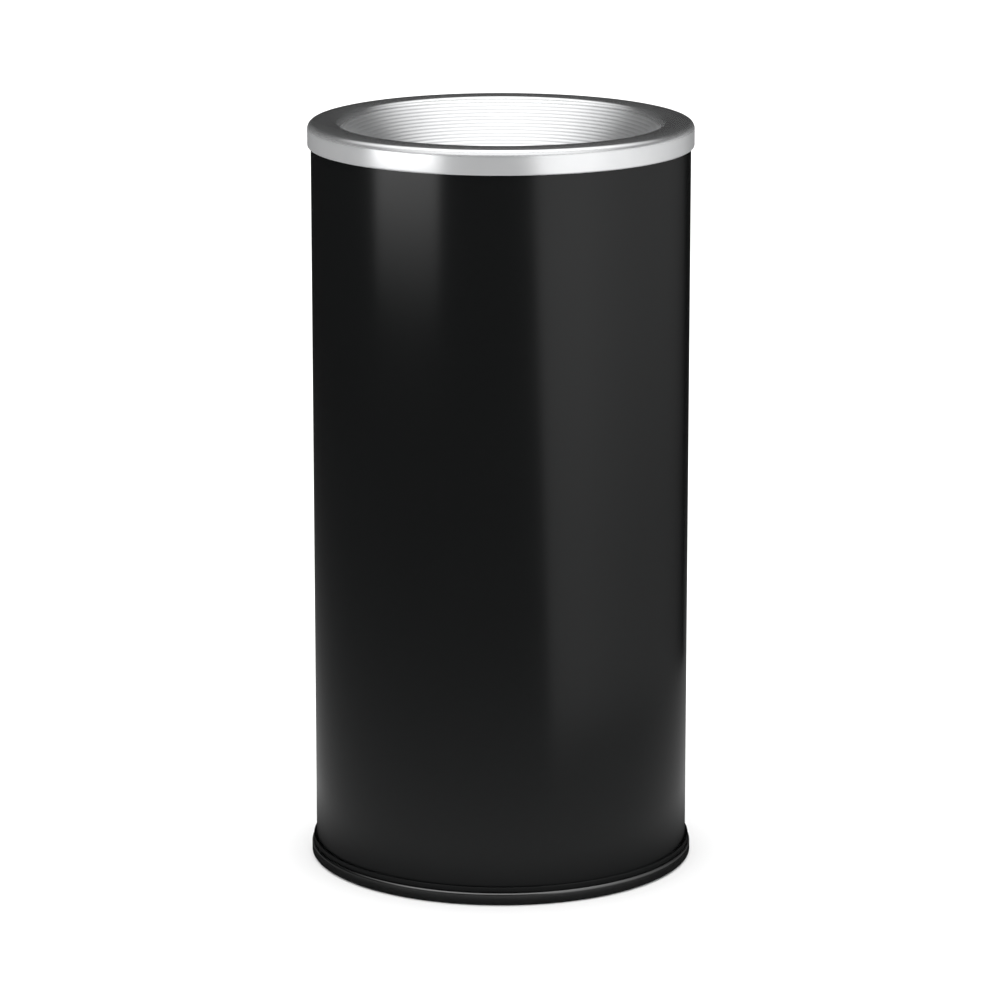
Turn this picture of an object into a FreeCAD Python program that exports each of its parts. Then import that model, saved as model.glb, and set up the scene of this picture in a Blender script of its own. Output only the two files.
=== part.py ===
import FreeCAD, Part

import math
import os

# A round umbrella stand: a black steel tube with a lift-off funnel top of spun
# aluminium, a weighted bottom with a moulded ring, and a drip pan inside.
# Millimetres. The origin is at the centre of the base, on the floor, with +Z up.

# Driving dimensions
STAND_HEIGHT = 495.3  # floor to the crest of the aluminium top
RING_RADIUS = 127.0  # outside of the moulded ring, the widest part
SHELL_RADIUS = 123.9  # outside of the steel tube
BAND_RADIUS = 126.1  # outside of the aluminium band
MOUTH_RADIUS = 69.0  # the hole that umbrellas go through
STEEL = 0.9  # sheet of the tube and of the bottom cap
FIT_GAP = 0.1  # between round pieces that are fixed together
RUNNING_GAP = 0.4  # between round pieces that lift apart
SMALL_ROUNDING = 0.5
NEARLY_HALF = 0.47  # of a folded or curled edge's thickness, for its rounding

# Funnel top
ALUMINIUM = 1.0
BAND_DEPTH = 17.0
LIP_ROUNDING = 1.2
EDGE_ROUNDING = 4.6  # between the band and the crest
EDGE_SLOPE = math.radians(16)
CREST_RADIUS = 115.5  # circle along the top of the crest
CREST_ROUNDING = 28.0
SHOULDER_SLOPE = math.radians(14)
SHOULDER_RADIUS = 107.1  # where the crest turns down into the cone
SHOULDER_ROUNDING = 4.0
CONE_SLOPE = math.radians(45)
NECK_LENGTH = 8.0
NECK_ROUNDING = 5.0
HEM_THICKNESS = 2.2
HEM_DEPTH = 4.4  # how far the folded edge goes back up the neck
RING_PITCH = 2.83  # along the cone, between two turned rings
RING_DEPTH = 0.25
RING_TOOL_RADIUS = 3.0
RING_START = 2.8  # along the cone, from its top edge
RING_COUNT = 17

# Steel tube
CURL_SIZE = 5.0  # the curled top edge, seen end on
CURL_DROP = 3.0  # from the crest down to the curl
SEAM_WIDTH = 10.0
SEAM_DEPTH = 0.9
SEAM_INSET = 1.0  # between the seam's fold and its neighbours
SEAM_LINE_WIDTH = 0.6
SEAM_LINE_DEPTH = 0.3

# Bottom cap and moulded ring
CAP_CORNER = 2.5
CAP_TOP = 12.2
HEM_BOTTOM = 9.2  # raw edge of the cap's folded-out hem
HEM_ROUNDING = 1.4
PANEL_RADIUS = 93.0  # the pressed-up centre panel
PANEL_RISE = 6.0
PANEL_BEND = 1.8
RING_HEIGHT = 8.6
RING_SOLE = 3.0  # thickness under the cap
RING_INNER_RADIUS = 113.0
RING_ROUNDING = 1.4
TOE_HEIGHT = 1.1  # recess under the ring's outer edge
TOE_DEPTH = 2.0

# Ballast plate and its three fixings
PLATE_RADIUS = 118.0
PLATE_THICKNESS = 4.8
PLATE_CHAMFER = 0.8
FIXING_COUNT = 3
FIXING_CIRCLE = 66.0
SCREW_RADIUS = 3.0
SCREW_HEAD_RADIUS = 6.0
SCREW_HEAD_SINK = 0.2
SCREW_LENGTH = 12.6
HOLE_RADIUS = 3.3
SOCKET_FLATS = 4.0
SOCKET_DEPTH = 1.8
WASHER_RADIUS = 6.0
WASHER_THICKNESS = 1.2
NUT_FLATS = 10.0
NUT_HEIGHT = 5.0
THREAD_GAP = 0.05

# Drip pan
PAN_SHEET = 0.7
PAN_FOOT_RADIUS = 109.0
PAN_WALL_RADIUS = 112.0  # outside of the wall, under the rim
PAN_HEIGHT = 47.6
PAN_CORNER = 6.0
PAN_RIM_SIZE = 4.8
PAN_RIM_ROUNDING = 2.3
PAN_PANEL_RADIUS = 59.0
PAN_PANEL_RISE = 2.0
PAN_PANEL_BEND = 1.5

# Grips riveted inside the pan
GRIP_STRIP = 1.2
GRIP_WIDTH = 24.0
GRIP_FACE = 109.1  # distance of the strip's outer face from the axis
GRIP_FOOT = 23.3  # above the pan's underside
GRIP_TOP = 75.3
GRIP_REACH = 16.0
GRIP_TURNDOWN = 8.0
GRIP_BEND = 5.0
RIVET_RADIUS = 2.0
RIVET_HEAD_RADIUS = 3.6
RIVET_HEAD_TOP = 2.5
RIVET_HEAD = 1.2
RIVET_SPACING = 12.0
RIVET_HEIGHT = 30.3  # above the pan's underside

AXIS = FreeCAD.Vector(0, 0, 1)
CENTRE = FreeCAD.Vector(0, 0, 0)

cap_floor = RING_SOLE + STEEL
panel_floor = cap_floor + PANEL_RISE
plate_top = panel_floor + PLATE_THICKNESS
band_bottom = STAND_HEIGHT - BAND_DEPTH


def rounded_outline(corners):
    """Closed wire through (x, z, rounding) corners in the XZ plane."""
    starts, edges = [], []
    points = [FreeCAD.Vector(x, 0, z) for x, z, _ in corners]
    for i, (_, _, rounding) in enumerate(corners):
        here = points[i]
        to_last = (points[i - 1] - here).normalize()
        to_next = (points[(i + 1) % len(points)] - here).normalize()
        if rounding == 0:
            starts.append((here, here))
            continue
        half_angle = to_last.getAngle(to_next) / 2
        setback = rounding / math.tan(half_angle)
        middle = (to_last + to_next).normalize()
        middle = here + middle * (rounding / math.sin(half_angle) - rounding)
        first, last = here + to_last * setback, here + to_next * setback
        edges.append(Part.Arc(first, middle, last).toShape())
        starts.append((first, last))
    for i, (_, last) in enumerate(starts):
        following = starts[(i + 1) % len(starts)][0]
        edges.append(Part.LineSegment(last, following).toShape())
    return Part.Wire(Part.__sortEdges__(edges))


def turned(corners):
    """Solid of revolution about the axis, from an outline of corners."""
    return Part.Face(rounded_outline(corners)).revolve(CENTRE, AXIS, 360)


def sheet_outline(path, gauge):
    """Corners of a sheet of that gauge lying on the left of a path."""
    points = [FreeCAD.Vector(x, 0, z) for x, z, _ in path]
    runs = [(b - a).normalize() for a, b in zip(points, points[1:])]
    lefts = [FreeCAD.Vector(-run.z, 0, run.x) for run in runs]
    other_side = []
    for i, (point, (_, _, rounding)) in enumerate(zip(points, path)):
        before, after = lefts[max(i - 1, 0)], lefts[min(i, len(lefts) - 1)]
        offset = (before + after) * (gauge / (1 + before.dot(after)))
        place = point + offset
        if rounding > 0:
            turns_left = before.cross(after).y < 0
            rounding += -gauge if turns_left else gauge
        other_side.append((place.x, place.z, rounding))
    return path + other_side[::-1]


def spaced_round(shape, count):
    """Copies of a shape, evenly spaced round the axis."""
    copies = []
    for i in range(count):
        copy = shape.copy()
        copy.rotate(CENTRE, AXIS, i * 360 / count)
        copies.append(copy)
    return Part.makeCompound(copies)


def hexagon_prism(flats, height):
    """Hexagonal prism standing on the origin."""
    radius = flats / math.sqrt(3)
    angles = [math.radians(60 * i) for i in range(7)]
    corners = [FreeCAD.Vector(radius * math.cos(a), radius * math.sin(a), 0) for a in angles]
    return Part.Face(Part.makePolygon(corners)).extrude(FreeCAD.Vector(0, 0, height))


def crest_corner():
    """Height of the outline's corner above the crest that rounds it off."""
    half_turn = (EDGE_SLOPE + SHOULDER_SLOPE) / 2
    lean = (EDGE_SLOPE - SHOULDER_SLOPE) / 2
    return STAND_HEIGHT + CREST_ROUNDING * (math.cos(lean) / math.cos(half_turn) - 1)


def funnel_top():
    """One spun sheet: turned-in lip, band, crowned crest, ringed cone, neck and folded hem."""
    apex_height = crest_corner()
    edge_height = apex_height - (BAND_RADIUS - CREST_RADIUS) * math.tan(EDGE_SLOPE)
    shoulder_height = apex_height - (CREST_RADIUS - SHOULDER_RADIUS) * math.tan(SHOULDER_SLOPE)
    neck_top = shoulder_height - (SHOULDER_RADIUS - MOUTH_RADIUS) * math.tan(CONE_SLOPE)
    hem_foot = neck_top - NECK_LENGTH
    path = [
        (SHELL_RADIUS + RUNNING_GAP, band_bottom, 0),
        (BAND_RADIUS, band_bottom, LIP_ROUNDING),
        (BAND_RADIUS, edge_height, EDGE_ROUNDING),
        (CREST_RADIUS, apex_height, CREST_ROUNDING),
        (SHOULDER_RADIUS, shoulder_height, SHOULDER_ROUNDING),
        (MOUTH_RADIUS, neck_top, NECK_ROUNDING),
        (MOUTH_RADIUS, hem_foot, 0),
    ]
    body = turned(sheet_outline(path, ALUMINIUM))
    hem_outer = MOUTH_RADIUS + HEM_THICKNESS
    hem_rounding = HEM_THICKNESS * NEARLY_HALF
    hem = turned([
        (MOUTH_RADIUS, hem_foot + HEM_DEPTH, 0),
        (MOUTH_RADIUS, hem_foot - HEM_THICKNESS / 2, hem_rounding),
        (hem_outer, hem_foot - HEM_THICKNESS / 2, hem_rounding),
        (hem_outer, hem_foot + HEM_DEPTH, SMALL_ROUNDING),
    ])
    top = body.fuse(hem).removeSplitter()
    tools = []
    stand_off = RING_TOOL_RADIUS - RING_DEPTH
    for i in range(RING_COUNT):
        along = RING_START + i * RING_PITCH
        radius = SHOULDER_RADIUS - along * math.cos(CONE_SLOPE)
        height = shoulder_height - along * math.sin(CONE_SLOPE)
        radius -= stand_off * math.sin(CONE_SLOPE)
        height += stand_off * math.cos(CONE_SLOPE)
        tools.append(Part.makeTorus(radius, RING_TOOL_RADIUS, FreeCAD.Vector(0, 0, height), AXIS))
    return top.cut(tools)


def shell():
    """Rolled steel tube with a curled top edge and a lock seam folded inwards at the back."""
    inner = SHELL_RADIUS - STEEL
    foot = cap_floor + CAP_CORNER - STEEL
    top = STAND_HEIGHT - CURL_DROP
    curl_inner = SHELL_RADIUS - CURL_SIZE
    curl_rounding = CURL_SIZE * NEARLY_HALF
    tube = turned([
        (inner, foot, 0),
        (SHELL_RADIUS, foot, 0),
        (SHELL_RADIUS, top, curl_rounding),
        (curl_inner, top, curl_rounding),
        (curl_inner, top - CURL_SIZE, curl_rounding),
        (inner, top - CURL_SIZE, SMALL_ROUNDING / 2),
    ])
    seam_foot = plate_top + SEAM_INSET
    seam_length = top - CURL_SIZE - SEAM_INSET - seam_foot
    fold = Part.makeBox(SEAM_WIDTH, STEEL / 2 + SEAM_DEPTH, seam_length)
    fold.translate(FreeCAD.Vector(-SEAM_WIDTH / 2, inner - SEAM_DEPTH, seam_foot))
    line = Part.makeBox(SEAM_LINE_WIDTH, STEEL, top - CURL_SIZE - CAP_TOP)
    line.translate(FreeCAD.Vector(-SEAM_LINE_WIDTH / 2, SHELL_RADIUS - SEAM_LINE_DEPTH, CAP_TOP))
    return tube.fuse(fold).cut(line)


def fixing_places(radius, low, high):
    """Upright round cutters where the ballast fixings go."""
    cutter = Part.makeCylinder(radius, high - low, FreeCAD.Vector(FIXING_CIRCLE, 0, low))
    return spaced_round(cutter, FIXING_COUNT)


def bottom_cap():
    """Pressed steel cap over the tube's foot, with a raised panel and an outward hem."""
    inner = SHELL_RADIUS + FIT_GAP
    outer = inner + STEEL
    hem_outer = outer + STEEL
    slope_run = PANEL_RISE
    cap = turned([
        (0, RING_SOLE + PANEL_RISE, 0),
        (PANEL_RADIUS, RING_SOLE + PANEL_RISE, PANEL_BEND),
        (PANEL_RADIUS + slope_run, RING_SOLE, PANEL_BEND),
        (outer, RING_SOLE, CAP_CORNER),
        (outer, HEM_BOTTOM, 0),
        (hem_outer, HEM_BOTTOM, STEEL / 4),
        (hem_outer, CAP_TOP, HEM_ROUNDING),
        (inner, CAP_TOP, STEEL / 4),
        (inner, cap_floor, CAP_CORNER - STEEL),
        (PANEL_RADIUS + slope_run - STEEL / 2, cap_floor, PANEL_BEND),
        (PANEL_RADIUS - STEEL / 2, panel_floor, PANEL_BEND),
        (0, panel_floor, 0),
    ])
    return cap.cut(fixing_places(HOLE_RADIUS, 0, plate_top))


def base_ring():
    """Moulded ring pressed on round the cap; its recessed sole meets the floor."""
    inner = SHELL_RADIUS + FIT_GAP + STEEL + FIT_GAP
    return turned([
        (RING_INNER_RADIUS, 0, SMALL_ROUNDING),
        (RING_RADIUS - TOE_DEPTH, 0, SMALL_ROUNDING / 2),
        (RING_RADIUS - TOE_DEPTH, TOE_HEIGHT, SMALL_ROUNDING / 2),
        (RING_RADIUS, TOE_HEIGHT, SMALL_ROUNDING),
        (RING_RADIUS, RING_HEIGHT, RING_ROUNDING),
        (inner, RING_HEIGHT, SMALL_ROUNDING / 2),
        (inner, RING_SOLE, 0),
        (RING_INNER_RADIUS, RING_SOLE, SMALL_ROUNDING),
    ])


def ballast_plate():
    """Steel disc on the cap's raised panel, countersunk for its three screws."""
    plate = turned([
        (0, panel_floor, 0),
        (PLATE_RADIUS, panel_floor, PLATE_CHAMFER),
        (PLATE_RADIUS, plate_top, PLATE_CHAMFER),
        (0, plate_top, 0),
    ])
    sink = SCREW_HEAD_RADIUS + FIT_GAP + SCREW_HEAD_SINK - HOLE_RADIUS
    place = FreeCAD.Vector(FIXING_CIRCLE, 0, plate_top - sink)
    countersink = Part.makeCone(HOLE_RADIUS, HOLE_RADIUS + sink, sink, place)
    plate = plate.cut(fixing_places(HOLE_RADIUS, 0, plate_top + PLATE_THICKNESS))
    return plate.cut(spaced_round(countersink, FIXING_COUNT))


def ballast_screws():
    """Countersunk socket screws, heads just under the plate's top."""
    head_top = plate_top - SCREW_HEAD_SINK
    head_height = SCREW_HEAD_RADIUS - SCREW_RADIUS
    place = FreeCAD.Vector(FIXING_CIRCLE, 0, head_top - head_height)
    head = Part.makeCone(SCREW_RADIUS, SCREW_HEAD_RADIUS, head_height, place)
    foot = FreeCAD.Vector(FIXING_CIRCLE, 0, head_top - SCREW_LENGTH)
    shank = Part.makeCylinder(SCREW_RADIUS, SCREW_LENGTH - head_height, foot)
    socket = hexagon_prism(SOCKET_FLATS, 2 * SOCKET_DEPTH)
    socket.translate(FreeCAD.Vector(FIXING_CIRCLE, 0, head_top - SOCKET_DEPTH))
    return spaced_round(head.fuse(shank).cut(socket), FIXING_COUNT)


def ballast_washers():
    """Flat washers under the cap's raised panel."""
    foot = FreeCAD.Vector(FIXING_CIRCLE, 0, RING_SOLE + PANEL_RISE - WASHER_THICKNESS)
    disc = Part.makeCylinder(WASHER_RADIUS, WASHER_THICKNESS, foot)
    hole = Part.makeCylinder(HOLE_RADIUS, WASHER_THICKNESS, foot)
    return spaced_round(disc.cut(hole), FIXING_COUNT)


def ballast_nuts():
    """Hexagon nuts under the washers, clear of the floor."""
    low = RING_SOLE + PANEL_RISE - WASHER_THICKNESS - NUT_HEIGHT
    nut = hexagon_prism(NUT_FLATS, NUT_HEIGHT)
    nut = nut.cut(Part.makeCylinder(SCREW_RADIUS + THREAD_GAP, NUT_HEIGHT))
    nut.translate(FreeCAD.Vector(FIXING_CIRCLE, 0, low))
    return spaced_round(nut, FIXING_COUNT)


def drip_pan():
    """Drawn pan with a raised centre panel and a rolled rim; it stands on the ballast plate."""
    low = plate_top
    high = low + PAN_HEIGHT
    rim_outer = PAN_WALL_RADIUS + PAN_RIM_SIZE - PAN_SHEET / 2
    rim_inner = PAN_WALL_RADIUS - PAN_SHEET / 2
    panel_foot = PAN_PANEL_RADIUS + PAN_PANEL_RISE
    under_corner = PAN_SHEET / 2
    pan = turned([
        (0, low + PAN_PANEL_RISE, 0),
        (PAN_PANEL_RADIUS, low + PAN_PANEL_RISE, PAN_PANEL_BEND),
        (panel_foot, low, PAN_PANEL_BEND),
        (PAN_FOOT_RADIUS, low, PAN_CORNER),
        (PAN_WALL_RADIUS, high - PAN_RIM_SIZE, PAN_SHEET),
        (rim_outer, high - PAN_RIM_SIZE, PAN_RIM_ROUNDING),
        (rim_outer, high, PAN_RIM_ROUNDING),
        (rim_inner, high, PAN_RIM_ROUNDING),
        (PAN_FOOT_RADIUS - PAN_SHEET, low + PAN_SHEET, PAN_CORNER - PAN_SHEET),
        (panel_foot - under_corner, low + PAN_SHEET, PAN_PANEL_BEND),
        (PAN_PANEL_RADIUS - under_corner, low + PAN_PANEL_RISE + PAN_SHEET, PAN_PANEL_BEND),
        (0, low + PAN_PANEL_RISE + PAN_SHEET, 0),
    ])
    holes = [rivet_shank(side, FIT_GAP) for side in (-1, 1)]
    return pan.cut(spaced_round(Part.makeCompound(holes), 2))


def pan_wall_radius(height):
    """Outside of the pan's tapered wall at a height above its underside."""
    taper = (PAN_WALL_RADIUS - PAN_FOOT_RADIUS) / (PAN_HEIGHT - PAN_RIM_SIZE)
    return PAN_FOOT_RADIUS + taper * height


def pan_grips():
    """Two bent steel strips inside the pan's wall, hooked inwards for the fingers."""
    foot, top = plate_top + GRIP_FOOT, plate_top + GRIP_TOP
    path = [
        (GRIP_FACE, foot, 0),
        (GRIP_FACE, top, GRIP_BEND),
        (GRIP_FACE - GRIP_REACH, top, GRIP_BEND),
        (GRIP_FACE - GRIP_REACH, top - GRIP_TURNDOWN, 0),
    ]
    outline = rounded_outline(sheet_outline(path, GRIP_STRIP))
    strip = Part.Face(outline).extrude(FreeCAD.Vector(0, GRIP_WIDTH, 0))
    strip.translate(FreeCAD.Vector(0, -GRIP_WIDTH / 2, 0))
    holes = [rivet_shank(side, FIT_GAP) for side in (-1, 1)]
    return spaced_round(strip.cut(holes), 2)


def rivet_shank(side, gap):
    """Straight part of a rivet through one grip and the pan's wall."""
    start = FreeCAD.Vector(GRIP_FACE - GRIP_STRIP, side * RIVET_SPACING / 2, plate_top + RIVET_HEIGHT)
    reach = PAN_WALL_RADIUS - GRIP_FACE + GRIP_STRIP
    return Part.makeCylinder(RIVET_RADIUS + gap, reach, start, FreeCAD.Vector(1, 0, 0))


def pan_rivets():
    """Domed rivets, two through each grip and the wall behind it."""
    rivets = []
    small, large = RIVET_HEAD_TOP, RIVET_HEAD_RADIUS
    outwards = FreeCAD.Vector(1, 0, 0)
    inside = GRIP_FACE - GRIP_STRIP - RIVET_HEAD
    outside = pan_wall_radius(RIVET_HEIGHT + RIVET_HEAD_RADIUS)
    for side in (-1, 1):
        y, z = side * RIVET_SPACING / 2, plate_top + RIVET_HEIGHT
        inner_head = Part.makeCone(small, large, RIVET_HEAD, FreeCAD.Vector(inside, y, z), outwards)
        outer_head = Part.makeCone(large, small, RIVET_HEAD, FreeCAD.Vector(outside, y, z), outwards)
        rivets.append(inner_head.fuse([rivet_shank(side, 0), outer_head]))
    return spaced_round(Part.makeCompound(rivets), 2)


PIECES = {
    "shell": shell,
    "funnel_top": funnel_top,
    "bottom_cap": bottom_cap,
    "base_ring": base_ring,
    "ballast_plate": ballast_plate,
    "ballast_screws": ballast_screws,
    "ballast_washers": ballast_washers,
    "ballast_nuts": ballast_nuts,
    "drip_pan": drip_pan,
    "pan_grips": pan_grips,
    "pan_rivets": pan_rivets,
}

os.makedirs("parts", exist_ok=True)
for name, make in PIECES.items():
    shape = make()
    shape.exportStep(f"parts/{name}.step")
    box = shape.optimalBoundingBox()
    print(
        f"{name}: {len(shape.Solids)} solids, valid {shape.isValid()}, "
        f"{shape.Volume / 1000:.1f} cm3, z {box.ZMin:.2f} to {box.ZMax:.2f}, radius {box.XMax:.2f}"
    )
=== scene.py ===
import math

import bmesh
import bpy
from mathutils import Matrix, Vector


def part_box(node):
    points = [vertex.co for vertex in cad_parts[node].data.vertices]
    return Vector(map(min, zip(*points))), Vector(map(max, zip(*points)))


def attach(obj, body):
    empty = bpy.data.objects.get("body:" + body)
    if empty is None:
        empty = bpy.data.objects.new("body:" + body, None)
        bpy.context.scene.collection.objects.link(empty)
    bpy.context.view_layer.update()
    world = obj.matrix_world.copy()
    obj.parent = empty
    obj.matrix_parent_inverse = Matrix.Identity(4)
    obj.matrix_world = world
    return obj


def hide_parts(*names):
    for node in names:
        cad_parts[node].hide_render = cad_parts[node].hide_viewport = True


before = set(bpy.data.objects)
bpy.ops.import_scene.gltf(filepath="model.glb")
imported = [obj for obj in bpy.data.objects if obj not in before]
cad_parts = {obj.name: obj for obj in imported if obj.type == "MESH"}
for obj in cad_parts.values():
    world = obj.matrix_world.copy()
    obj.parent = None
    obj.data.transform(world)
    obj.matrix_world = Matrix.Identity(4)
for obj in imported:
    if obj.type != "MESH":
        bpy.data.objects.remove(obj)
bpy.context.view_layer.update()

# The view: a long lens in front of the stand, a little above its rim, looking slightly down
# on it, so that the inside of the funnel's far side shows over the near rim.
VIEW_PLACE = (-0.0006, -3.0, 0.9487)
VIEW_TILT = math.radians(13.28)
VIEW_LENS = 167.4
camera = bpy.data.objects.new("camera", bpy.data.cameras.new("camera"))
camera.data.lens = VIEW_LENS
camera.location = VIEW_PLACE
camera.rotation_euler = (math.radians(90) - VIEW_TILT, 0, 0)
bpy.context.collection.objects.link(camera)
bpy.context.scene.camera = camera
bpy.context.scene.view_settings.view_transform = "Standard"

# The base ring is moulded from black vinyl and pressed on round the foot of the steel. Its
# sole turns in under the steel and is all that touches the floor; its foot is cut back.
MM = 0.001
AROUND = 256
ARC_STEPS = 9
RING_SOLE = 3.0
RING_WIDTH = 14.0
RING_WALL = 2.0
RING_TOP_ROUNDING = 1.8
RING_EASE = 0.5
RING_INNER_EASE = 0.15
TOE_HEIGHT = 1.1
TOE_DEPTH = 2.0
TOE_EASE = 0.25
SHARP_ANGLE = math.radians(32)
MERGE_REACH = 1e-7
VINYL_TONES = (0.0038, 0.0040, 0.0041), (0.0058, 0.0062, 0.0063)
VINYL_ROUGHNESS = 0.19, 0.25
VINYL_GRAIN = 0.000012
_, ring_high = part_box("base_ring")
ring_radius, ring_top = ring_high.x / MM, ring_high.z / MM


def rounded(corners):
    """Points of a closed outline from (radius, height, rounding) corners, all in mm."""
    points = []
    for i, (radius, height, rounding) in enumerate(corners):
        here = Vector((radius, height))
        if rounding == 0:
            points.append(here)
            continue
        back = (Vector(corners[i - 1][:2]) - here).normalized()
        ahead = (Vector(corners[(i + 1) % len(corners)][:2]) - here).normalized()
        half = back.angle(ahead) / 2
        centre = here + (back + ahead).normalized() * rounding / math.sin(half)
        first = here + back * rounding / math.tan(half) - centre
        sweep = math.copysign(math.pi - 2 * half, ahead.cross(back))
        start = math.atan2(first.y, first.x)
        for step in range(ARC_STEPS + 1):
            turn = start + sweep * step / ARC_STEPS
            points.append(centre + rounding * Vector((math.cos(turn), math.sin(turn))))
    return points


def turned(name, corners, angles=None):
    """A solid of revolution about the stand's axis, with the outline that the corners give."""
    outline = rounded(corners)
    angles = angles or [2 * math.pi * i / AROUND for i in range(AROUND)]
    mesh = bpy.data.meshes.new(name)
    body = bmesh.new()
    rings = []
    for angle in angles:
        out = Vector((math.cos(angle), math.sin(angle), 0))
        rings.append([body.verts.new(out * (p.x * MM) + Vector((0, 0, p.y * MM))) for p in outline])
    for ring, following in zip(rings, rings[1:] + rings[:1]):
        for i in range(len(outline)):
            corner = (i + 1) % len(outline)
            body.faces.new((ring[i], following[i], following[corner], ring[corner]))
    bmesh.ops.remove_doubles(body, verts=body.verts, dist=MERGE_REACH)
    bmesh.ops.dissolve_degenerate(body, edges=body.edges, dist=MERGE_REACH)
    bmesh.ops.recalc_face_normals(body, faces=body.faces)
    body.to_mesh(mesh)
    body.free()
    mesh.shade_smooth()
    mesh.set_sharp_from_angle(angle=SHARP_ANGLE)
    piece = bpy.data.objects.new(name, mesh)
    bpy.context.collection.objects.link(piece)
    return piece


class Finish:
    """A material under construction: its shader, and the textures that are wired into it."""

    def __init__(self, name, sockets):
        self.material = bpy.data.materials.new(name)
        self.material.use_nodes = True
        self.tree = self.material.node_tree
        self.shader = self.tree.nodes["Principled BSDF"]
        for socket, value in sockets.items():
            self.shader.inputs[socket].default_value = value
        self.place = self.add("ShaderNodeTexCoord").outputs["Object"]

    def add(self, kind, inputs=None, **settings):
        """A node with these settings; an input is a number or another node's output."""
        node = self.tree.nodes.new(kind)
        for setting, value in settings.items():
            setattr(node, setting, value)
        for socket, value in (inputs or {}).items():
            if isinstance(value, bpy.types.NodeSocket):
                self.tree.links.new(value, node.inputs[socket])
            else:
                node.inputs[socket].default_value = value
        return node

    def noise(self, scale, detail=2.0, place=None):
        inputs = {"Vector": place or self.place, "Scale": scale, "Detail": detail}
        return self.add("ShaderNodeTexNoise", inputs).outputs["Fac"]

    def graded(self, amount, low, high, start=0.0, end=1.0):
        """The amount, from start to end, turned into a number from low to high."""
        inputs = {"Value": amount, "From Min": start, "From Max": end}
        inputs.update({"To Min": low, "To Max": high})
        return self.add("ShaderNodeMapRange", inputs).outputs["Result"]

    def tinted(self, amount, dark, light):
        """A colour between two others, by the amount."""
        mix = self.add("ShaderNodeMix", {"Factor": amount}, data_type="RGBA")
        mix.inputs["A"].default_value = (*dark, 1)
        mix.inputs["B"].default_value = (*light, 1)
        return mix.outputs["Result"]

    def relief(self, height, depth, below=None):
        """A bump of that depth in metres, on top of another bump."""
        inputs = {"Height": height, "Distance": depth}
        if below is not None:
            inputs["Normal"] = below
        return self.add("ShaderNodeBump", inputs).outputs["Normal"]

    def wire(self, socket, output):
        self.tree.links.new(output, self.shader.inputs[socket])


vinyl = Finish("black vinyl", {"Specular IOR Level": 1.0, "IOR": 1.9})
vinyl.wire("Base Color", vinyl.tinted(vinyl.noise(scale=60, detail=3), *VINYL_TONES))
vinyl.wire("Roughness", vinyl.graded(vinyl.noise(scale=25, detail=4), *VINYL_ROUGHNESS))
vinyl.wire("Normal", vinyl.relief(vinyl.noise(scale=900, detail=2), VINYL_GRAIN))

ring_inner = ring_radius - RING_WALL
base_ring = turned("vinyl_base_ring", [
    (ring_radius - RING_WIDTH, 0, RING_EASE),
    (ring_radius - TOE_DEPTH, 0, TOE_EASE),
    (ring_radius - TOE_DEPTH, TOE_HEIGHT, TOE_EASE),
    (ring_radius, TOE_HEIGHT, RING_EASE),
    (ring_radius, ring_top, RING_TOP_ROUNDING),
    (ring_inner, ring_top, RING_INNER_EASE),
    (ring_inner, RING_SOLE, 0),
    (ring_radius - RING_WIDTH, RING_SOLE, RING_EASE),
])
base_ring.data.materials.append(vinyl.material)
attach(base_ring, "stand")
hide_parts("base_ring")

# The bottom cap is pressed from sheet steel and welded over the foot of the tube. Its edge is
# folded outwards and down, which makes the rounded bead above the vinyl ring. Baked enamel.
STEEL = 0.9
CAP_CORNER = 2.5
BEAD_DEPTH = 3.0
BEAD_ROUNDING = 0.2
PANEL_RADIUS = 93.0
PANEL_RISE = 6.0
PANEL_BEND = 1.8
ENAMEL_TONES = (0.0041, 0.0044, 0.0045), (0.0048, 0.0052, 0.0053)
ENAMEL_ROUGHNESS = 0.19, 0.25
ENAMEL_GRAIN = 0.000006
cap_low, cap_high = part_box("bottom_cap")
bead_radius, bead_top, cap_foot = cap_high.x / MM, cap_high.z / MM, cap_low.z / MM

enamel = Finish("black enamel", {"Specular IOR Level": 0.4})
enamel.wire("Base Color", enamel.tinted(enamel.noise(scale=14, detail=4), *ENAMEL_TONES))
enamel.wire("Roughness", enamel.graded(enamel.noise(scale=30, detail=5), *ENAMEL_ROUGHNESS))
enamel.wire("Normal", enamel.relief(enamel.noise(scale=520, detail=2), ENAMEL_GRAIN))

cap_outer = bead_radius - STEEL
cap_inner = cap_outer - STEEL
cap_floor = cap_foot + STEEL
bottom_cap = turned("steel_bottom_cap", [
    (0, cap_foot + PANEL_RISE, 0),
    (PANEL_RADIUS, cap_foot + PANEL_RISE, PANEL_BEND),
    (PANEL_RADIUS + PANEL_RISE, cap_foot, PANEL_BEND),
    (cap_outer, cap_foot, CAP_CORNER),
    (cap_outer, bead_top - BEAD_DEPTH, 0),
    (bead_radius, bead_top - BEAD_DEPTH, STEEL / 4),
    (bead_radius, bead_top, BEAD_ROUNDING),
    (cap_inner, bead_top, STEEL / 4),
    (cap_inner, cap_floor, CAP_CORNER - STEEL),
    (PANEL_RADIUS + PANEL_RISE - STEEL / 2, cap_floor, PANEL_BEND),
    (PANEL_RADIUS - STEEL / 2, cap_floor + PANEL_RISE, PANEL_BEND),
    (0, cap_floor + PANEL_RISE, 0),
])
bottom_cap.data.materials.append(enamel.material)
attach(bottom_cap, "stand")
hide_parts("bottom_cap")

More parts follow.
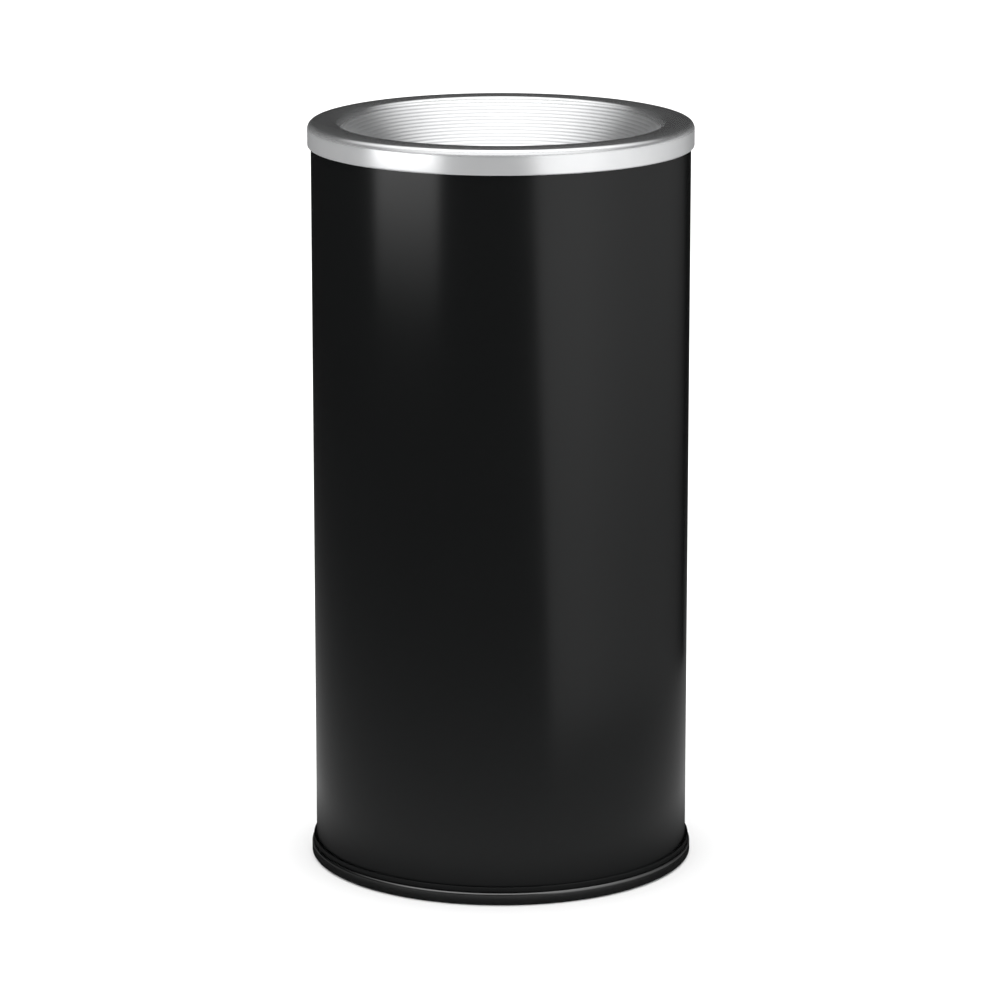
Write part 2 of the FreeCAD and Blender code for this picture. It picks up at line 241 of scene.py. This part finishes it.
# The tube is rolled from the same sheet and closed by a lock seam at the back: a fine line
# outside and a flat fold inside. Its top edge is curled inwards, and the funnel sits on it.
CURL = 5.0
CURL_ROUNDING = 2.35
CURL_FOOT_EASE = 0.5
SEAM_LINE = 0.6
SEAM_LINE_DEPTH = 0.3
SEAM_FOLD = 10.0
SEAM_FOLD_DEPTH = 0.9
SEAM_EASE = 0.15
SEAM_TOLERANCE = 0.01
shell_low, shell_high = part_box("shell")
tube_radius, tube_foot, tube_top = shell_high.x / MM, shell_low.z / MM, shell_high.z / MM
tube_inner = tube_radius - STEEL

seam_steps = []
for reach in (SEAM_FOLD / 2, SEAM_LINE / 2):
    seam_steps += [-reach - SEAM_EASE, -reach, reach, reach + SEAM_EASE]
seam_steps = sorted(seam_steps)
seam_span = 2 * math.asin((SEAM_FOLD / 2 + SEAM_EASE) / tube_radius)
seam_angles = [math.pi / 2 - math.asin(step / tube_radius) for step in reversed(seam_steps)]
plain_count = AROUND - 1
plain_start = math.pi / 2 + seam_span / 2
plain_turn = 2 * math.pi - seam_span
plain_angles = [plain_start + plain_turn * (i + 1) / (plain_count + 1) for i in range(plain_count)]

tube = turned("steel_tube", [
    (tube_inner, tube_foot, 0),
    (tube_radius, tube_foot, 0),
    (tube_radius, tube_top, CURL_ROUNDING),
    (tube_radius - CURL, tube_top, CURL_ROUNDING),
    (tube_radius - CURL, tube_top - CURL, CURL_ROUNDING),
    (tube_inner, tube_top - CURL, CURL_FOOT_EASE),
], sorted(seam_angles) + plain_angles)
for vertex in tube.data.vertices:
    across, out, height = vertex.co / MM
    if out < 0 or abs(across) > SEAM_FOLD:
        continue
    radius = math.hypot(across, out)
    move = 0
    if abs(across) <= SEAM_LINE / 2 + SEAM_TOLERANCE and radius > tube_inner + STEEL / 2:
        move = -SEAM_LINE_DEPTH
    if abs(across) <= SEAM_FOLD / 2 + SEAM_TOLERANCE and radius < tube_inner + STEEL / 2:
        move = -SEAM_FOLD_DEPTH
    if height < tube_top - CURL:
        vertex.co.x *= (radius + move) / radius
        vertex.co.y *= (radius + move) / radius
tube.data.materials.append(enamel.material)
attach(tube, "stand")
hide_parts("shell")

# The ballast is a flat steel disc in dark primer, on the cap's raised panel. Three countersunk
# screws hold it, with zinc-plated washers and nuts under the cap.
PRIMER_TONES = (0.035, 0.033, 0.031), (0.075, 0.07, 0.065)
PRIMER_ROUGHNESS = 0.5, 0.7
PRIMER_GRAIN = 0.00005
ZINC_TONES = (0.52, 0.53, 0.55), (0.72, 0.72, 0.70)
ZINC_ROUGHNESS = 0.22, 0.42
ZINC_GRAIN = 0.00001


def finish_as_made(node, finish):
    """Put a finish on a piece whose shape is the one in the frame."""
    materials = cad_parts[node].data.materials
    materials.clear()
    materials.append(finish.material)


primer = Finish("dark primer", {})
primer.wire("Base Color", primer.tinted(primer.noise(scale=45, detail=6), *PRIMER_TONES))
primer.wire("Roughness", primer.graded(primer.noise(scale=80, detail=4), *PRIMER_ROUGHNESS))
primer.wire("Normal", primer.relief(primer.noise(scale=400, detail=4), PRIMER_GRAIN))
finish_as_made("ballast_plate", primer)

zinc = Finish("bright zinc", {"Metallic": 1.0})
zinc.wire("Base Color", zinc.tinted(zinc.noise(scale=220, detail=4), *ZINC_TONES))
zinc.wire("Roughness", zinc.graded(zinc.noise(scale=300, detail=3), *ZINC_ROUGHNESS))
zinc.wire("Normal", zinc.relief(zinc.noise(scale=1500, detail=2), ZINC_GRAIN))
for node in ("ballast_screws", "ballast_washers", "ballast_nuts", "pan_rivets"):
    finish_as_made(node, zinc)

# The drip pan is drawn from galvanised sheet, with a raised floor panel and a rolled rim. It
# stands loose on the ballast. Two bent strips riveted inside its wall are the grips.
PAN_SHEET = 0.7
PAN_TAPER = 3.0
PAN_CORNER = 6.0
PAN_RIM = 4.8
PAN_RIM_ROUNDING = 2.3
PAN_PANEL_RADIUS = 59.0
PAN_PANEL_RISE = 2.0
PAN_PANEL_BEND = 1.5
SPANGLE = 90
GALVANISED_TONES = (0.40, 0.42, 0.44), (0.60, 0.62, 0.64)
GALVANISED_ROUGHNESS = 0.28, 0.48
SPANGLE_RELIEF = 0.00002
pan_low, pan_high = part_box("drip_pan")
rim_radius, pan_foot, pan_top = pan_high.x / MM, pan_low.z / MM, pan_high.z / MM

galvanised = Finish("galvanised sheet", {"Metallic": 1.0})
crystals = galvanised.add("ShaderNodeTexVoronoi", {"Vector": galvanised.place, "Scale": SPANGLE})
crystal = galvanised.add("ShaderNodeSeparateColor", {"Color": crystals.outputs["Color"]})
facets = crystal.outputs["Red"]
galvanised.wire("Base Color", galvanised.tinted(facets, *GALVANISED_TONES))
galvanised.wire("Roughness", galvanised.graded(crystal.outputs["Green"], *GALVANISED_ROUGHNESS))
galvanised.wire("Normal", galvanised.relief(facets, SPANGLE_RELIEF))

pan_wall = rim_radius - PAN_RIM + PAN_SHEET / 2
foot_radius = pan_wall - PAN_TAPER
panel_foot = PAN_PANEL_RADIUS + PAN_PANEL_RISE
drip_pan = turned("galvanised_drip_pan", [
    (0, pan_foot + PAN_PANEL_RISE, 0),
    (PAN_PANEL_RADIUS, pan_foot + PAN_PANEL_RISE, PAN_PANEL_BEND),
    (panel_foot, pan_foot, PAN_PANEL_BEND),
    (foot_radius, pan_foot, PAN_CORNER),
    (pan_wall, pan_top - PAN_RIM, PAN_SHEET),
    (rim_radius, pan_top - PAN_RIM, PAN_RIM_ROUNDING),
    (rim_radius, pan_top, PAN_RIM_ROUNDING),
    (rim_radius - PAN_RIM, pan_top, PAN_RIM_ROUNDING),
    (foot_radius - PAN_SHEET, pan_foot + PAN_SHEET, PAN_CORNER - PAN_SHEET),
    (panel_foot - PAN_SHEET / 2, pan_foot + PAN_SHEET, PAN_PANEL_BEND),
    (PAN_PANEL_RADIUS - PAN_SHEET / 2, pan_foot + PAN_PANEL_RISE + PAN_SHEET, PAN_PANEL_BEND),
    (0, pan_foot + PAN_PANEL_RISE + PAN_SHEET, 0),
])
drip_pan.data.materials.append(galvanised.material)
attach(drip_pan, "pan")
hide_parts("drip_pan")
finish_as_made("pan_grips", galvanised)

# The funnel top is spun in one piece from aluminium sheet. Its lip slides over the tube and its
# burnished crest sits on the curl. The cone keeps the spinner's rings, the band is rubbed to a
# satin, and the raw edge of the neck is folded out and flattened.
ALUMINIUM = 1.0
LIP_GAP = 0.4
LIP_ROUNDING = 1.2
BAND_DEPTH = 17.0
EDGE_ROUNDING = 4.6
EDGE_SLOPE = math.radians(16)
CREST_RADIUS = 115.5
CREST_ROUNDING = 28.0
SHOULDER_SLOPE = math.radians(14)
SHOULDER_RADIUS = 107.1
SHOULDER_ROUNDING = 4.0
NECK_RADIUS = 69.0
NECK_ROUNDING = 5.0
NECK_LENGTH = 8.0
HEM = 2.2
HEM_DEPTH = 4.4
HEM_ROUNDING = 1.0
HEM_EDGE_EASE = 0.5
RING_PITCH = 2.83
RING_DEPTH = 0.25
RING_START = 1.4
RING_COUNT = 17
RING_POINTS = 6
SPUN_TONES = (0.80, 0.81, 0.82), (0.90, 0.905, 0.91)
SATIN_ROUGHNESS = 0.27, 0.34
BURNISHED_ROUGHNESS = 0.17
BURNISHED_DEPTH = 6.0, 1.0
CONE_METALLIC, BAND_METALLIC, CREST_METALLIC = 0.87, 0.70, 0.93
BAND_BLEND = 119.0, 122.0
SPECKLE_RELIEF = 0.000015
LATHE_RELIEF = 0.000004
LATHE_DRIFT = 0.02
_, top_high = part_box("funnel_top")
band_radius, crest = top_high.x / MM, top_high.z / MM

half_turn = (EDGE_SLOPE + SHOULDER_SLOPE) / 2
lean = (EDGE_SLOPE - SHOULDER_SLOPE) / 2
apex = crest + CREST_ROUNDING * (math.cos(lean) / math.cos(half_turn) - 1)
edge_height = apex - (band_radius - CREST_RADIUS) * math.tan(EDGE_SLOPE)
cone_top = apex - (CREST_RADIUS - SHOULDER_RADIUS) * math.tan(SHOULDER_SLOPE)
neck_top = cone_top - (SHOULDER_RADIUS - NECK_RADIUS)
hem_foot = neck_top - NECK_LENGTH


def ringed_cone():
    """Corners down the cone's face, dished a little between one ring and the next."""
    corners = []
    for ring in range(RING_COUNT):
        for step in range(RING_POINTS):
            share = step / RING_POINTS
            along = RING_START + (ring + share) * RING_PITCH
            dish = RING_DEPTH * 4 * share * (1 - share)
            across = along / math.sqrt(2)
            sunk = dish / math.sqrt(2)
            corners.append((SHOULDER_RADIUS - across + sunk, cone_top - across - sunk, 0))
    return corners


def back_of(face, gauge):
    """The other face of a sheet, on the left of the corners given, from last to first."""
    places = [Vector(corner[:2]) for corner in face]
    runs = [(end - start).normalized() for start, end in zip(places, places[1:])]
    lefts = [Vector((-run.y, run.x)) for run in runs]
    corners = []
    for corner, before, after in zip(face, lefts[:1] + lefts, lefts + lefts[-1:]):
        place = Vector(corner[:2]) + (before + after) * (gauge / (1 + before.dot(after)))
        corners.append((place.x, place.y, max(corner[2] - gauge, 0)))
    return corners[::-1]


lip_height = crest - BAND_DEPTH
rim = [
    (tube_radius + LIP_GAP, lip_height, 0),
    (band_radius, lip_height, LIP_ROUNDING),
    (band_radius, edge_height, EDGE_ROUNDING),
    (CREST_RADIUS, apex, CREST_ROUNDING),
    (SHOULDER_RADIUS, cone_top, SHOULDER_ROUNDING),
]
neck = [(NECK_RADIUS, neck_top, NECK_ROUNDING), (NECK_RADIUS, hem_foot, 0)]
hem = [
    (NECK_RADIUS, hem_foot - HEM / 2, HEM_ROUNDING),
    (NECK_RADIUS + HEM, hem_foot - HEM / 2, HEM_ROUNDING),
    (NECK_RADIUS + HEM, hem_foot + HEM_DEPTH, HEM_EDGE_EASE),
    (NECK_RADIUS + ALUMINIUM, hem_foot + HEM_DEPTH, 0),
]
under = back_of(rim + neck, ALUMINIUM)[1:]
funnel = turned("spun_funnel_top", rim + ringed_cone() + neck[:1] + hem + under)

spun = Finish("spun aluminium", {"Anisotropic": 0.25, "Anisotropic Rotation": 0.25})
flat = spun.add("ShaderNodeVectorMath", {0: spun.place, 1: (1, 1, 0)}, operation="MULTIPLY")
length = spun.add("ShaderNodeVectorMath", {0: flat.outputs["Vector"]}, operation="LENGTH")
radius = length.outputs["Value"]
place = spun.add("ShaderNodeSeparateXYZ", {"Vector": spun.place}).outputs
drift = spun.add("ShaderNodeMath", {0: place["X"], 1: LATHE_DRIFT}, operation="MULTIPLY")
lathe = spun.add("ShaderNodeCombineXYZ", {
    "X": radius, "Y": place["Z"], "Z": drift.outputs["Value"]
}).outputs["Vector"]
lines = spun.noise(scale=2600, detail=3, place=lathe)
band_start, band_end = (edge * MM for edge in BAND_BLEND)
crest_start, crest_end = ((crest - depth) * MM for depth in BURNISHED_DEPTH)
satin = spun.graded(lines, *SATIN_ROUGHNESS)
rubbed = spun.graded(radius, CONE_METALLIC, BAND_METALLIC, band_start, band_end)
burnish = spun.graded(place["Z"], 0.0, 1.0, crest_start, crest_end)
for socket, plain, bright in (
    ("Roughness", satin, BURNISHED_ROUGHNESS),
    ("Metallic", rubbed, CREST_METALLIC),
):
    mix = spun.add("ShaderNodeMix", {"Factor": burnish, "A": plain, "B": bright})
    spun.wire(socket, mix.outputs["Result"])
spun.wire("Base Color", spun.tinted(spun.noise(scale=40, detail=4), *SPUN_TONES))
speckle = spun.relief(spun.noise(scale=1400, detail=2), SPECKLE_RELIEF)
spun.wire("Normal", spun.relief(lines, LATHE_RELIEF, speckle))
tangent = spun.add("ShaderNodeTangent", direction_type="RADIAL", axis="Z")
spun.wire("Tangent", tangent.outputs["Tangent"])
funnel.data.materials.append(spun.material)
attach(funnel, "top")
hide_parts("funnel_top")

# The studio: a pale floor that runs out of sight under a plain white surround. The canopy and
# the front lamp over the stand, the box at its left and the card at its right show only in its
# gloss. The floor is hidden from the gloss; a glowing panel under it paints the floor's
# reflection there instead, with painted contact shade round the stand's foot.
FLOOR_REACH = 12.0
FLOOR_TONES = (0.86, 0.86, 0.86), (0.88, 0.88, 0.88)
SURROUND = 1.7
ARCH_RADIUS = 1.6
CANOPY_RISE = 78, 138
CANOPY_HALF_WIDTH = 2.6
CANOPY_STRENGTH = 2.0
CANOPY_BACK_FADE = 42, 72
LAMP_RISE = 27, 74
LAMP_FULL_WIDTH = 0.8
LAMP_HALF_WIDTH = 3.4
LAMP_STRENGTH = 1.0
BOX_START, BOX_END = -70, -32
BOX_DISTANCE = 0.44
BOX_HEIGHTS = 0.32, 0.50
BOX_FADE = 0.32, 0.60
BOX_STRENGTH = 4.7
CARD_STARTS, CARD_END = (27.5, 14), 146
CARD_DISTANCE = 0.55
CARD_HEIGHTS = 0.0, 0.6
CARD_BACK_FADE = 41, 135
CARD_STRENGTH = 0.75
CARD_HEIGHT_FADE = 0.15, 0.40
CARD_HEIGHT_SHARES = 0.88, 1.3
# The floor's painted reflection: its reach, its fall with distance, its least level, the painted
# contact shade round the stand's foot, and its strength in front and behind.
SHEEN_REACH = 8.0
SHEEN_FALL = 0.37
SHEEN_LEAST = 0.025
CONTACT_SHADE_LEVEL = 0.04
CONTACT_SHADE_FADE = 0.14, 0.23
FRONT_SHEEN, BACK_SHEEN = 0.80, 0.70
SHEEN_BLEND = 0.2
STUDIO_STEPS = 24


def panel(name, corners, faces):
    mesh = bpy.data.meshes.new(name)
    mesh.from_pydata(corners, [], faces)
    piece = bpy.data.objects.new(name, mesh)
    bpy.context.collection.objects.link(piece)
    return piece


def swept_panel(name, edges):
    """A panel through pairs of points, one pair after another."""
    corners = [corner for edge in edges for corner in edge]
    faces = [(2 * i, 2 * i + 2, 2 * i + 3, 2 * i + 1) for i in range(len(edges) - 1)]
    return panel(name, corners, faces)


class Glow(Finish):
    """A lamp's own light, or the floor's painted reflection, seen only in the stand's gloss."""

    def __init__(self, name):
        super().__init__(name, {})
        self.light = self.add("ShaderNodeEmission")
        surface = self.tree.nodes["Material Output"].inputs["Surface"]
        self.tree.links.new(self.light.outputs["Emission"], surface)

    def parted(self):
        """The X, Y and Z of the place that is being shaded."""
        return self.add("ShaderNodeSeparateXYZ", {"Vector": self.place}).outputs

    def sideways(self):
        """How far to either side the place is."""
        size = self.add("ShaderNodeMath", {0: self.parted()["X"]}, operation="ABSOLUTE")
        return size.outputs["Value"]

    def product(self, one, other):
        times = self.add("ShaderNodeMath", {0: one, 1: other}, operation="MULTIPLY")
        return times.outputs["Value"]

    def faded_by_angle(self, over, under, low, high, angles):
        """From low to high between two angles, which count from the back, in degrees."""
        angle = self.add("ShaderNodeMath", {0: over, 1: under}, operation="ARCTAN2")
        return self.graded(angle.outputs["Value"], low, high, *map(math.radians, angles))

    def shine(self, strength):
        self.tree.links.new(strength, self.light.inputs["Strength"])

    def put_on(self, card):
        card.data.materials.append(self.material)
        card.visible_camera = False
        card.visible_diffuse = False
        card.visible_shadow = False


def spread(start, end):
    return [start + (end - start) * i / STUDIO_STEPS for i in range(STUDIO_STEPS + 1)]


def bent_card(starts, end, distance, heights):
    """Pairs of points round the stand. Angles count from the camera's side, in degrees."""
    pairs = []
    for angles in zip(*(spread(math.radians(start), math.radians(end)) for start in starts)):
        pairs.append([
            (distance * math.sin(angle), -distance * math.cos(angle), height)
            for angle, height in zip(angles, heights)
        ])
    return pairs


def arched(start, end, half_width):
    """Pairs of points over the stand. Rises count from the camera's side, in degrees."""
    pairs = []
    for rise in spread(math.radians(start), math.radians(end)):
        y, z = -ARCH_RADIUS * math.cos(rise), crest * MM + ARCH_RADIUS * math.sin(rise)
        pairs.append([(-half_width, y, z), (half_width, y, z)])
    return pairs


pale = Finish("pale floor", {"Roughness": 0.9, "Specular IOR Level": 0.0})
pale.wire("Base Color", pale.tinted(pale.noise(scale=3, detail=2), *FLOOR_TONES))
floor_signs = ((-1, -1), (1, -1), (1, 1), (-1, 1))
floor_corners = [(x * FLOOR_REACH, y * FLOOR_REACH, 0) for x, y in floor_signs]
floor = panel("floor", floor_corners, [(0, 1, 2, 3)])
floor.data.materials.append(pale.material)
floor.visible_glossy = False

canopy = Glow("canopy")
canopy_place = canopy.parted()
upward = canopy.add("ShaderNodeMath", {0: canopy_place["Z"], 1: -crest * MM}, operation="ADD")
canopy.shine(canopy.product(
    canopy.graded(canopy.sideways(), CANOPY_STRENGTH, 0.0, 0.0, CANOPY_HALF_WIDTH),
    canopy.faded_by_angle(upward.outputs["Value"], canopy_place["Y"], 0.0, 1.0, CANOPY_BACK_FADE),
))
canopy.put_on(swept_panel("canopy", arched(*CANOPY_RISE, CANOPY_HALF_WIDTH)))

lamp = Glow("front lamp")
lamp.shine(lamp.graded(lamp.sideways(), LAMP_STRENGTH, 0.0, LAMP_FULL_WIDTH, LAMP_HALF_WIDTH))
lamp.put_on(swept_panel("front lamp", arched(*LAMP_RISE, LAMP_HALF_WIDTH)))

box = Glow("left box")
box_ramp = box.graded(box.parted()["Z"], 0.0, BOX_STRENGTH, *BOX_FADE)
box_ramp.node.interpolation_type = "SMOOTHSTEP"
box.shine(box_ramp)
box_edges = bent_card((BOX_START, BOX_START), BOX_END, BOX_DISTANCE, BOX_HEIGHTS)
box.put_on(swept_panel("left box", box_edges))

card = Glow("right card")
card_place = card.parted()
card.shine(card.product(
    card.faded_by_angle(card_place["X"], card_place["Y"], 0.0, CARD_STRENGTH, CARD_BACK_FADE),
    card.graded(card_place["Z"], *CARD_HEIGHT_SHARES, *CARD_HEIGHT_FADE),
))
card_edges = bent_card(CARD_STARTS, CARD_END, CARD_DISTANCE, CARD_HEIGHTS)
card.put_on(swept_panel("right card", card_edges))

# Painted reflection of the floor: this glowing panel under the hidden floor stands in for it in the
# gloss, fading with distance from the stand, a little dimmer behind than in front.
sheen = Glow("painted floor reflection")
away = sheen.add("ShaderNodeVectorMath", {0: sheen.place}, operation="LENGTH").outputs["Value"]
faded = sheen.add("ShaderNodeMath", {0: sheen.product(away, -1 / SHEEN_FALL)}, operation="EXPONENT")
level = sheen.graded(faded.outputs["Value"], SHEEN_LEAST, 1.0)
strength = sheen.graded(sheen.parted()["Y"], FRONT_SHEEN, BACK_SHEEN, -SHEEN_BLEND, SHEEN_BLEND)
# Painted contact shade: the floor's painted reflection dims right round the stand's foot.
near = sheen.graded(away, CONTACT_SHADE_LEVEL, 1.0, *CONTACT_SHADE_FADE)
sheen.shine(sheen.product(sheen.product(level, strength), near))
far = SHEEN_REACH
sheen_edges = [[(-far, y, -MM), (far, y, -MM)] for y in (-far, far)]
sheen.put_on(swept_panel("painted floor reflection", sheen_edges))

sky = bpy.data.worlds.new("white surround")
sky.use_nodes = True
sky.node_tree.nodes["Background"].inputs["Color"].default_value = (1, 1, 1, 1)
sky.node_tree.nodes["Background"].inputs["Strength"].default_value = SURROUND
bpy.context.scene.world = sky
sky.cycles_visibility.glossy = False
